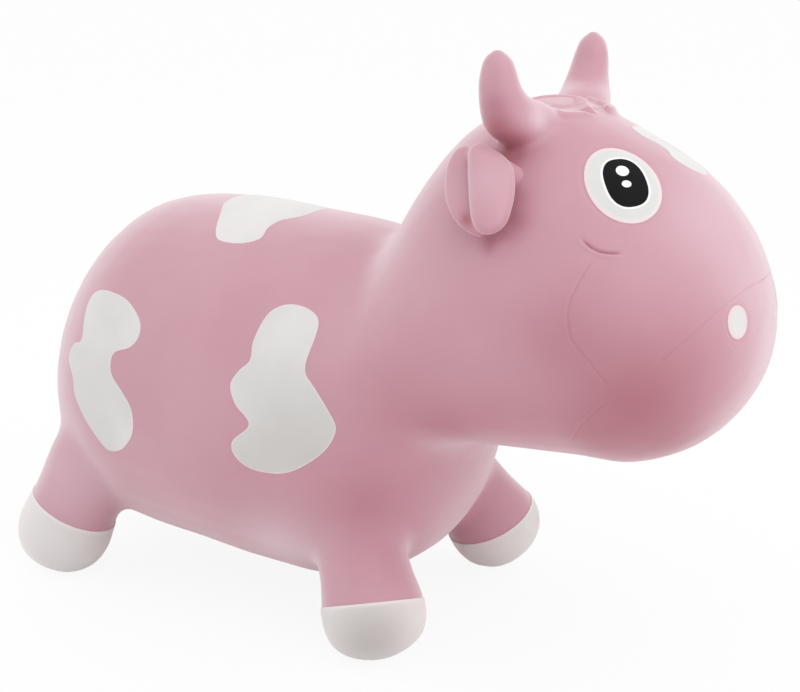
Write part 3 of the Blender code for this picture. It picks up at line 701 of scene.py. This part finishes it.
def carved(skin):
    """Refines the skin along the moulded lines and tufts, and presses them in or raises them."""
    tree = tree_of(skin)
    lines, tufts, rims = line_strokes(tree), tuft_strokes(tree), rim_strokes(tree)
    centres = values(skin.data.polygons, "center")
    near = np.zeros(len(centres), bool)
    for points in [line[0] for line in lines] + [tuft[0] for tuft in tufts] + rims:
        near[near_rows(points, centres, LINE_REACH)[0]] = True
    choose(skin, "polygons", near)
    edited(skin, lambda: bpy.ops.mesh.subdivide(number_cuts=LINE_CUTS))
    co = values(skin.data.vertices, "co")
    normals = values(skin.data.vertices, "normal")
    moves = np.zeros(len(co))
    for points, depth, width, lip, side in lines:
        rows, nearest, _ = near_rows(points, co, LINE_REACH)
        along = np.gradient(points, axis=0)[nearest]
        along /= np.linalg.norm(along, axis=1)[:, None]
        across = np.cross(normals[rows], along) * side
        offset = ((co[rows] - points[nearest]) * across).sum(1)
        end = steps_to_end(points, nearest) * LINE_STEP
        groove = -depth * bell(offset / (width * GROOVE_WIDTH))
        raised = lip * bell((offset + width * LIP_PLACE) / (width * LIP_WIDTH))
        moves[rows] += smoothstep(end / LINE_FADE) * (groove + raised)
    for points in rims:
        rows, _, gaps = near_rows(points, co, LINE_REACH)
        moves[rows] -= RIM_DEPTH * bell(gaps / RIM_WIDTH)
    hair, pits = np.zeros(len(co)), np.zeros(len(co))
    for points, height, width in tufts:
        rows, nearest, gaps = near_rows(points, co, width * TUFT_REACH)
        end = (steps_to_end(points, nearest) + 1) * LINE_STEP
        rise = height * smoothstep(TUFT_BLUNT + end / TUFT_FADE) * bell(gaps / width)
        if height > 0:
            hair[rows] = np.maximum(hair[rows], rise)
        else:
            pits[rows] += rise
    co += normals * (moves + hair + pits)[:, None]
    skin.data.vertices.foreach_set("co", co.astype(np.float32).ravel())
    skin.data.update()
    return skin


def air_hole(skin):
    """The round seat and the hole that the plug goes into."""
    low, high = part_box("air_plug")
    middle = (low + high) / 2
    flange = (high.x - low.x) / 2 + SEAT_GAP
    bpy.ops.mesh.primitive_cylinder_add(
        vertices=SEAT_SIDES, radius=flange, depth=SEAT_DEPTH,
        location=(middle.x, middle.y, low.z + SEAT_TOP - SEAT_DEPTH / 2),
    )
    seat = bpy.context.object
    bpy.ops.object.transform_apply(location=True, rotation=True, scale=True)
    choose(seat, "polygons", values(seat.data.polygons, "normal")[:, 2] > 0.9)
    edited(
        seat,
        lambda: bpy.ops.mesh.inset(thickness=flange - HOLE_RADIUS),
        lambda: bpy.ops.mesh.extrude_region_move(TRANSFORM_OT_translate={"value": (0, 0, HOLE_DEPTH)}),
    )
    applied(skin, "BOOLEAN", operation="DIFFERENCE", solver="EXACT", object=seat)
    discard(seat)
    return skin


# Marks: shares stored on the mesh, for the materials


def mark(obj, name, shares):
    obj.data.attributes.new(name, "FLOAT", "POINT").data.foreach_set("value", np.asarray(shares, np.float32))


def mark_creases(obj):
    """Stores how hollow each place is against its close neighbours, for painted shade in creases: creases
    above 0, ridges below.
    """
    co = values(obj.data.vertices, "co")
    ends = np.empty(len(obj.data.edges) * 2, np.int32)
    obj.data.edges.foreach_get("vertices", ends)
    a, b = ends.reshape(-1, 2).T
    count = np.bincount(a, minlength=len(co)) + np.bincount(b, minlength=len(co))

    def around(x):
        """The mean over each vertex's neighbours."""
        return (np.bincount(a, x[b], len(co)) + np.bincount(b, x[a], len(co))) / count

    soft = co.copy()
    for _ in range(CREASE_STEPS):
        for k in range(3):
            soft[:, k] = (soft[:, k] + around(soft[:, k])) / 2
    length = np.linalg.norm(co[a] - co[b], axis=1)
    mean = (np.bincount(a, length, len(co)) + np.bincount(b, length, len(co))) / count
    fine = np.clip((CREASE_MESH[0] - mean) / (CREASE_MESH[0] - CREASE_MESH[1]), 0, 1)
    for _ in range(CREASE_STEPS // 2):
        fine = (fine + around(fine)) / 2
    hollow = ((soft - co) * values(obj.data.vertices, "normal")).sum(1) / CREASE_DEPTH
    mark(obj, "crease_shade", hollow * fine)


def mark_painted_shade_and_highlight(tree, *objects):
    """Stores painted shade and painted highlight from the photograph's places: where the pink is deeper or
    paler than elsewhere.
    """
    spots = [
        (np.array(tree.ray_cast(*sight_line(*pixel))[0]), radius * MM, share)
        for pixel, radius, share in SHADE_AND_HIGHLIGHT_SPOTS
    ]
    for obj in objects:
        co = values(obj.data.vertices, "co")
        co[:, 1] = -np.abs(co[:, 1])
        kept = {True: np.ones(len(co)), False: np.ones(len(co))}
        for spot, radius, share in spots:
            near = bell(np.linalg.norm(co - spot, axis=1) / radius)
            kept[share > 0] *= 1 - abs(share) * near
        mark(obj, "deep_tone_and_shade", 1 - kept[True])
        mark(obj, "pale_tone_and_highlight", 1 - kept[False])


def blocked_share(co, normals, tree):
    """How much of the space over each place is taken up nearby, from 0 to 1."""
    turns = np.arange(FOLD_RAYS) * GOLDEN_ANGLE
    lift = np.sqrt((np.arange(FOLD_RAYS) + 0.5) / FOLD_RAYS)
    flat = np.sqrt(1 - lift**2)
    rays = np.stack([flat * np.cos(turns), flat * np.sin(turns), lift], 1)
    aside = np.cross(normals, ASIDE)
    aside /= np.linalg.norm(aside, axis=1)[:, None]
    other = np.cross(normals, aside)
    out = np.zeros(len(co))
    for x, y, z in rays:
        directions = aside * x + other * y + normals * z
        for i, (start, way) in enumerate(zip(co + normals * FOLD_GAP, directions)):
            distance = tree.ray_cast(Vector(start), Vector(way), FOLD_REACH)[3]
            if distance is not None:
                out[i] += 1 - distance / FOLD_REACH
    return out / FOLD_RAYS


def mark_fold_shade(skin, ears):
    """Stores on skin and ears how deep in a fold each place lies, for the painted shade there: deeper pink.
    """
    solid = joined(copied(skin, "fold_forms"), *[copied(ear, "fold_ear") for ear in ears])
    applied(solid, "REMESH", mode="VOXEL", voxel_size=FOLD_VOXEL)
    tree = tree_of(solid)
    mark_painted_shade_and_highlight(tree, skin, *ears)
    co = values(solid.data.vertices, "co")
    shares = blocked_share(co, values(solid.data.vertices, "normal"), tree)
    places = KDTree(len(co))
    for i, place in enumerate(co):
        places.insert(place, i)
    places.balance()
    soft = np.array([np.mean([shares[i] for _, i, _ in places.find_n(place, FOLD_MEAN)]) for place in co])
    # Painted shade where the skin faces down
    soft += UNDER_SHARE * np.clip(UNDER_START - values(solid.data.vertices, "normal")[:, 2], 0, 1)
    for obj in (skin, *ears):
        fold_shade = []
        for place in values(obj.data.vertices, "co"):
            found = places.find_n(place, FOLD_NEAR)
            weights = [1 / (distance + FOLD_BLUR) for _, _, distance in found]
            fold_shade.append(sum(w * soft[i] for w, (_, i, _) in zip(weights, found)) / sum(weights))
        # Painted highlight spots take away some of the painted shade
        pale_tone_and_highlight = values(obj.data.attributes["pale_tone_and_highlight"].data, "value", 1)
        mark(obj, "fold_shade", np.array(fold_shade) * (1 - FOLD_CLEAR * pale_tone_and_highlight))
    discard(solid)


# Horns and ears


def same_shading(obj, source):
    """Takes the normals of the uncut surface, so that a cut doesn't show."""
    return applied(
        obj, "DATA_TRANSFER", object=source, use_loop_data=True, data_types_loops={"CUSTOM_NORMAL"},
        loop_mapping="POLYINTERP_NEAREST",
    )


def horn_frame(side, word):
    """A horn's pivot and the direction in which it stands."""
    return pivot("horn_sway_" + word), sided(HORN_FACING, side).normalized()


def cut_horn(obj, side, word, keep_free):
    """Cuts a horn off at its seam. Keeps the horn alone, or the rest with the cut closed."""
    middle, facing = horn_frame(side, word)
    point = middle + facing * HORN_SEAM
    if keep_free:
        centres = values(obj.data.polygons, "center")
        drop_faces(obj, np.linalg.norm(centres - np.array(middle), axis=1) > HORN_REACH)
    centres = values(obj.data.polygons, "center")
    near = np.linalg.norm(centres - np.array(middle), axis=1) < HORN_REACH
    above = (centres - np.array(point)) @ np.array(facing) > -2 * SKIN_VOXEL
    choose(obj, "polygons", near & above if not keep_free else np.ones(len(centres), bool))
    edited(
        obj,
        lambda: bpy.ops.mesh.bisect(
            plane_co=point, plane_no=facing, clear_inner=keep_free, clear_outer=not keep_free
        ),
    )
    return close_holes(obj)


def horn(whole, side, word):
    piece = cut_horn(copied(whole, "horn_" + word + "_soft"), side, word, True)
    same_shading(piece, whole)
    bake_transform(piece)
    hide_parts("horn_" + word, "horn_root_" + word)
    return piece


def pillow(outline, middle, facing, outwards_by, inwards_by):
    """A smooth cushion with this outline, made from a ball."""
    bpy.ops.mesh.primitive_uv_sphere_add(segments=len(outline), ring_count=EAR_RINGS, radius=1)
    ball = bpy.context.object
    turn = math.tau / len(outline)
    for vertex in ball.data.vertices:
        x, y, z = vertex.co
        rim = outline[round(math.atan2(y, x) / turn) % len(outline)]
        height = math.copysign(abs(z) ** EAR_FULL, z) * (outwards_by if z > 0 else inwards_by)
        vertex.co = middle + (rim - middle) * math.hypot(x, y) + facing * height
    return outwards(ball)


def ball_row(bar):
    """Balls along a line of middles, each with its radius."""
    balls = []
    for a, b in zip(bar, bar[1:]):
        for share in np.arange(0, 1, BALL_STEP / math.dist(a[:3], b[:3])):
            x, y, z, radius = (np.array(a) * (1 - share) + np.array(b) * share) * MM
            bpy.ops.mesh.primitive_ico_sphere_add(subdivisions=BALL_DETAIL, radius=radius, location=(x, y, z))
            bpy.ops.object.transform_apply(location=True, rotation=False, scale=False)
            balls.append(bpy.context.object)
    return balls


def ear_form():
    """The right ear: two lobes side by side under a ridge that runs into the head."""
    place, facing = Vector(EAR_PLANE), Vector(EAR_PLANE_FACING).normalized()
    forms = []
    for pixels, forward, thick_out, thick_in in EAR_LOBES:
        outline = [on_plane(pixel, place + facing * (forward * MM), facing) for pixel in rounded(pixels)]
        middle = sum(outline, Vector()) / len(outline)
        forms.append(pillow(outline, middle, facing, thick_out * MM, thick_in * MM))
    for bar in EAR_BARS:
        forms += ball_row(bar)
    form = joined(*forms)
    applied(form, "REMESH", mode="VOXEL", voxel_size=EAR_VOXEL)
    applied(form, "DISPLACE", strength=EAR_SWELL, mid_level=0)
    softened(form, EAR_SOFTENING)
    form.name = "ear_right_soft"
    only(form)
    bpy.ops.object.shade_smooth()
    return form


def hang_ear(piece, word):
    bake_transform(piece)
    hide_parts("ear_" + word, "ear_root_" + word)


# Paint


def stencil(outline, place, facing, reach):
    """A straight block with the outline's shape, through a place on the skin."""
    facing = Vector(facing).normalized()
    across, up = facing_axes(facing)
    place = Vector(place)
    bpy.ops.mesh.primitive_circle_add(vertices=len(outline), fill_type="NGON")
    block = bpy.context.object
    for vertex, (u, v) in zip(block.data.vertices, outline):
        vertex.co = place + across * u + up * v - facing * reach
    edited(
        block, choose_all,
        lambda: bpy.ops.mesh.extrude_region_move(TRANSFORM_OT_translate={"value": facing * (2 * reach)}),
    )
    return outwards(block)


def outline_distance(spots, outline):
    """How far each spot of a plane lies from a closed outline."""
    a = np.array(outline)
    b = np.roll(a, -1, axis=0)
    side = b - a
    offset = spots[:, None] - a[None]
    share = np.clip((offset * side).sum(2) / np.maximum((side * side).sum(1), 1e-12), 0, 1)
    return np.linalg.norm(offset - share[..., None] * side, axis=2).min(1)


def mark_edges(coat, place, facing, **outlines):
    """Stores how far each place of a coat lies from these outlines, in mm."""
    across, up = facing_axes(facing)
    offset = values(coat.data.vertices, "co") - np.array(place)
    spots = np.stack([offset @ np.array(across), offset @ np.array(up)], 1)
    for name, outline in outlines.items():
        mark(coat, name, outline_distance(spots, outline) / MM)


def paint(skin, name, outline, place, facing, lift=PAINT_LIFT, reach=FACE_REACH, cuts=FACE_CUTS, inner=None):
    """A thin coat of paint on the skin inside an outline."""
    place, facing = Vector(place), Vector(facing).normalized()
    centres = values(skin.data.polygons, "center")
    normals = values(skin.data.polygons, "normal")
    size = max(math.hypot(*p) for p in outline)
    offsets = centres - np.array(place)
    depth = offsets @ np.array(facing)
    flat = np.linalg.norm(offsets - depth[:, None] * np.array(facing), axis=1)
    near = (flat < size + PAINT_MARGIN) & (np.abs(depth) < reach)
    coat = copied(skin, name)
    drop_faces(coat, ~(near & (normals @ np.array(facing) > PAINT_FACING)))
    choose(coat, "polygons", values(coat.data.polygons, "area", 1) > COARSE)
    edited(coat, lambda: bpy.ops.mesh.subdivide(number_cuts=cuts, smoothness=1))
    applied(coat, "DISPLACE", strength=lift, mid_level=0)
    applied(coat, "SOLIDIFY", thickness=lift + PAINT_DEPTH, offset=-1)
    block = stencil(outline, place, facing, reach)
    applied(coat, "BOOLEAN", operation="INTERSECT", solver="EXACT", object=block)
    discard(block)
    outlines = {"edge": outline, "ring": inner} if inner else {"edge": outline}
    mark_edges(coat, place, facing, **outlines)
    only(coat)
    bpy.ops.object.shade_smooth_by_angle(angle=math.radians(PAINT_SHARP))
    return coat


def patch_coat(skin, name, size, place, facing, shares):
    """A coat with an outline in shares of its size."""
    outline = [(u * size[0], v * size[1]) for u, v in rounded(shares)]
    return paint(skin, name, outline, place, facing, reach=PATCH_REACH, cuts=PATCH_CUTS)


def hoof(skin, name, foot, lean, height):
    """The hoof's coat: everything below the paint line, with a rounded upper edge."""
    radius = foot[2]
    slope = Vector((-lean[0], lean[1], 1)).normalized()
    ball = Vector((foot[0], -foot[1], radius - SOLE_FLAT))
    line = ball + slope * (height - radius)
    centres = values(skin.data.polygons, "center")
    flat = np.hypot(centres[:, 0] - line.x, centres[:, 1] - line.y)
    coat = copied(skin, name)
    drop_faces(coat, (flat > HOOF_ZONE[0]) | (centres[:, 2] > HOOF_ZONE[1]))
    edited(
        coat, choose_all,
        lambda: bpy.ops.mesh.bisect(plane_co=line, plane_no=slope, clear_outer=True),
    )
    keep_furthest(coat, (0, 0, -1))
    applied(coat, "DISPLACE", strength=HOOF_COAT, mid_level=0)
    applied(coat, "SOLIDIFY", thickness=HOOF_COAT + HOOF_DEPTH, offset=-1, use_even_offset=True)
    corner = math.radians(HOOF_CORNER)
    applied(coat, "BEVEL", width=HOOF_BEVEL, segments=3, limit_method="ANGLE", angle_limit=corner)
    co = values(coat.data.vertices, "co")
    co[:, 2] = np.maximum(co[:, 2], 0)
    coat.data.vertices.foreach_set("co", co.astype(np.float32).ravel())
    mark(coat, "edge", (np.array(line) - co) @ np.array(slope) / MM)
    spot = tree_of(coat).ray_cast(*sight_line(*HOOF_GREY[0]))[0]
    gap = np.linalg.norm(co - np.array(spot), axis=1) if spot else np.full(len(co), np.inf)
    mark(coat, "grey", bell(gap / (HOOF_GREY[1] * MM)))
    only(coat)
    bpy.ops.object.shade_smooth_by_angle(angle=math.radians(HOOF_SHARP))
    return coat


def mirrored(obj, name):
    """A copy on the animal's left, turned outside out again."""
    other = copied(obj, name)
    other.data.transform(Matrix.Diagonal((1, -1, 1, 1)))
    return outwards(other)


def dressed(obj, node, material, slot="white_paint"):
    with_material(obj, material)
    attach(obj, "body")
    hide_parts(node)


def dressed_pair(right, name, *finish):
    """Dresses a coat on the right, and its mirror image on the left."""
    left = mirrored(right, name + "_left_coat")
    dressed(right, name + "_right", *finish)
    dressed(left, name + "_left", *finish)


# Materials


def surface_group():
    """Slow cloudy colour change, fine speckle and the fine grain of moulded vinyl."""
    group = bpy.data.node_groups.new("vinyl_surface", "ShaderNodeTree")
    for output, *_ in SURFACE_NOISES:
        group.interface.new_socket(output, in_out="OUTPUT", socket_type="NodeSocketFloat")
    nodes, links = group.nodes, group.links
    end = nodes.new("NodeGroupOutput")
    place = nodes.new("ShaderNodeTexCoord")
    for output, scale, detail, rough in SURFACE_NOISES:
        noise = nodes.new("ShaderNodeTexNoise")
        for name, value in (("Scale", scale), ("Detail", detail), ("Roughness", rough)):
            noise.inputs[name].default_value = value
        links.new(place.outputs["Object"], noise.inputs["Vector"])
        links.new(noise.outputs["Fac"], end.inputs[output])
    return group


def mixed(nodes, links, colour, tint, share):
    """A colour turned towards a tint by this share. Colours are sockets or three numbers."""
    mix = nodes.new("ShaderNodeMix")
    mix.data_type = "RGBA"
    for socket, value in (("Factor", share), ("A", colour), ("B", tint)):
        if isinstance(value, bpy.types.NodeSocket):
            links.new(value, mix.inputs[socket])
        else:
            mix.inputs[socket].default_value = (*value, 1)
    return mix.outputs["Result"]


def ranged(nodes, links, value, start, end, low=0.0, high=1.0, kind="SMOOTHSTEP"):
    spread = nodes.new("ShaderNodeMapRange")
    spread.interpolation_type = kind
    for name, number in (("From Min", start), ("From Max", end), ("To Min", low), ("To Max", high)):
        spread.inputs[name].default_value = number
    links.new(value, spread.inputs["Value"])
    return spread.outputs["Result"]


def coated(name, group, deep_tone_and_shade, pale_tone_and_highlight, grain=0.1, sheen=0.0, specular=0.5, accents=(), painted_sheen=None):
    """A vinyl or paint finish: clouds between two colours, a painted sheen at a slant, tints by mark, varied
    gloss.
    """
    material = bpy.data.materials.new(name)
    material.use_nodes = True
    nodes, links = material.node_tree.nodes, material.node_tree.links
    shader = nodes["Principled BSDF"]
    surface = nodes.new("ShaderNodeGroup")
    surface.node_tree = group
    colour = mixed(nodes, links, deep_tone_and_shade, pale_tone_and_highlight, ranged(nodes, links, surface.outputs["Cloud"], *CLOUD_RANGE))
    # Painted sheen: a paler colour where the surface is seen at a slant
    if painted_sheen:
        tint, start, most = painted_sheen
        weight = nodes.new("ShaderNodeLayerWeight")
        weight.inputs["Blend"].default_value = 0.5
        share = ranged(nodes, links, weight.outputs["Facing"], start, 1, 0, most)
        colour = mixed(nodes, links, colour, tint, share)
    for attribute, none, full, tint, most in accents:
        source = nodes.new("ShaderNodeAttribute")
        source.attribute_name = attribute
        share = ranged(nodes, links, source.outputs["Fac"], none, full, 0, most, "LINEAR")
        colour = mixed(nodes, links, colour, tint, share)
    links.new(colour, shader.inputs["Base Color"])
    gloss = ranged(nodes, links, surface.outputs["Speckle"], 0, 1, *ROUGHNESS, "LINEAR")
    links.new(gloss, shader.inputs["Roughness"])
    bump = nodes.new("ShaderNodeBump")
    bump.inputs["Strength"].default_value = grain
    bump.inputs["Distance"].default_value = GRAIN_HEIGHT
    links.new(surface.outputs["Grain"], bump.inputs["Height"])
    links.new(bump.outputs["Normal"], shader.inputs["Normal"])
    shader.inputs["Sheen Weight"].default_value = sheen
    shader.inputs["Sheen Roughness"].default_value = SHEEN_ROUGHNESS
    shader.inputs["Specular IOR Level"].default_value = specular
    return material


# Floor and light


def add_floor():
    """A floor that takes shadows, and is nearly white where it is seen or mirrored."""
    bpy.ops.mesh.primitive_circle_add(vertices=64, radius=FLOOR_RADIUS, fill_type="NGON", location=(0, 0, 0))
    floor = bpy.context.object
    floor.name = "floor"
    material = bpy.data.materials.new("floor")
    material.use_nodes = True
    nodes, links = material.node_tree.nodes, material.node_tree.links
    shader = nodes["Principled BSDF"]
    shader.inputs["Base Color"].default_value = (FLOOR_WHITE, FLOOR_WHITE, FLOOR_WHITE, 1)
    shader.inputs["Roughness"].default_value = 0.9
    shader.inputs["Specular IOR Level"].default_value = 0
    glow = nodes.new("ShaderNodeEmission")
    glow.inputs["Strength"].default_value = 1
    seen = nodes.new("ShaderNodeLightPath")
    either = nodes.new("ShaderNodeMath")
    either.operation = "MAXIMUM"
    share = nodes.new("ShaderNodeMath")
    share.operation = "MULTIPLY"
    share.inputs[1].default_value = FLOOR_GLOW
    mix = nodes.new("ShaderNodeMixShader")
    links.new(seen.outputs["Is Camera Ray"], either.inputs[0])
    links.new(seen.outputs["Is Glossy Ray"], either.inputs[1])
    links.new(either.outputs[0], share.inputs[0])
    links.new(share.outputs[0], mix.inputs["Fac"])
    links.new(shader.outputs["BSDF"], mix.inputs[1])
    links.new(glow.outputs["Emission"], mix.inputs[2])
    links.new(mix.outputs["Shader"], nodes["Material Output"].inputs["Surface"])
    floor.data.materials.append(material)


def add_world():
    """A white surround, white where it is seen, and dimmer as light from the camera's side."""
    world = bpy.data.worlds.new("studio")
    bpy.context.scene.world = world
    world.use_nodes = True
    nodes, links = world.node_tree.nodes, world.node_tree.links
    back = nodes["Background"]
    back.inputs["Color"].default_value = (1, 1, 1, 1)
    way = nodes.new("ShaderNodeTexCoord")
    towards = nodes.new("ShaderNodeVectorMath")
    towards.operation = "DOT_PRODUCT"
    towards.inputs[1].default_value = Vector(DIM_SIDE).normalized()
    links.new(way.outputs["Generated"], towards.inputs[0])
    light = ranged(nodes, links, towards.outputs["Value"], *DIM_RANGE, *WORLD_LEVELS)
    seen = nodes.new("ShaderNodeLightPath")
    strength = nodes.new("ShaderNodeMix")
    strength.inputs["B"].default_value = 1
    links.new(seen.outputs["Is Camera Ray"], strength.inputs["Factor"])
    links.new(light, strength.inputs["A"])
    links.new(strength.outputs["Result"], back.inputs["Strength"])


def add_lamp(name, place, size, power):
    data = bpy.data.lights.new(name, "AREA")
    data.size = size
    data.energy = power
    obj = linked(name, data)
    obj.location = place
    obj.rotation_euler = (LAMP_AIM - Vector(place)).to_track_quat("-Z", "Y").to_euler()
    obj.visible_camera = False


bpy.context.scene.view_settings.view_transform = "Standard"
add_camera()
add_floor()
add_world()
for lamp in LAMPS:
    add_lamp(*lamp)

surface = surface_group()
finishes = {name: coated(name, surface, **finish) for name, finish in FINISHES.items()}
pink, white, eye_paint = finishes["pink_vinyl"], finishes["white_paint"], finishes["eye_paint"]

# Skin, horns and ears are shaped and marked uncut, so that colours and painted shade and highlight run on
# across the joints
whole = carved(moulded_skin())
only(whole)
bpy.ops.object.shade_smooth()
right_ear = ear_form()
ears = {"right": right_ear, "left": mirrored(right_ear, "ear_left_soft")}
mark_fold_shade(whole, ears.values())
for obj in (whole, *ears.values()):
    mark_creases(obj)

for side, word in SIDES:
    hang_ear(ears[word], word)
    with_material(horn(whole, side, word), pink)
    with_material(ears[word], pink)

skin = copied(whole, "skin")
for side, word in SIDES:
    cut_horn(skin, side, word, False)
air_hole(skin)
same_shading(skin, whole)
with_material(skin, pink)
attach(skin, "body")
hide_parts("body_skin")

for name, patch in (("side_patch", SIDE_PATCH), ("rump_patch", RUMP_PATCH)):
    dressed_pair(patch_coat(whole, name + "_right_coat", *patch), name, white)
for name, patch in (("back_patch", BACK_PATCH), ("forehead_patch", FOREHEAD_PATCH)):
    dressed(patch_coat(whole, name + "_coat", *patch), name, white)

for name, finish, slot, inner in (
    ("eye_white", eye_paint, "white_paint", eye_outline("eye_pupil")),
    ("eye_pupil", finishes["black_paint"], "black_paint", None),
    ("eye_glint_upper", eye_paint, "white_paint", None),
    ("eye_glint_lower", eye_paint, "white_paint", None),
):
    lift = EYE_PARTS[name][-1]
    coat = paint(whole, name + "_right_coat", eye_outline(name), EYE_PLACE, EYE_FACING, lift, inner=inner)
    dressed_pair(coat, name, finish, slot)
coat = paint(whole, "nostril_right_coat", oval(NOSTRIL_SIZE), NOSTRIL_PLACE, NOSTRIL_FACING)
dressed_pair(coat, "nostril", finishes["nostril_paint"])

for name, foot, lean, height in (
    ("front_hoof", FRONT_FOOT, FRONT_LEAN, FRONT_HOOF), ("rear_hoof", REAR_FOOT, REAR_LEAN, REAR_HOOF),
):
    dressed_pair(hoof(whole, name + "_right_coat", foot, lean, height), name, finishes["hoof_paint"])

with_material(frame["nodes"]["air_plug"], pink)
discard(whole)
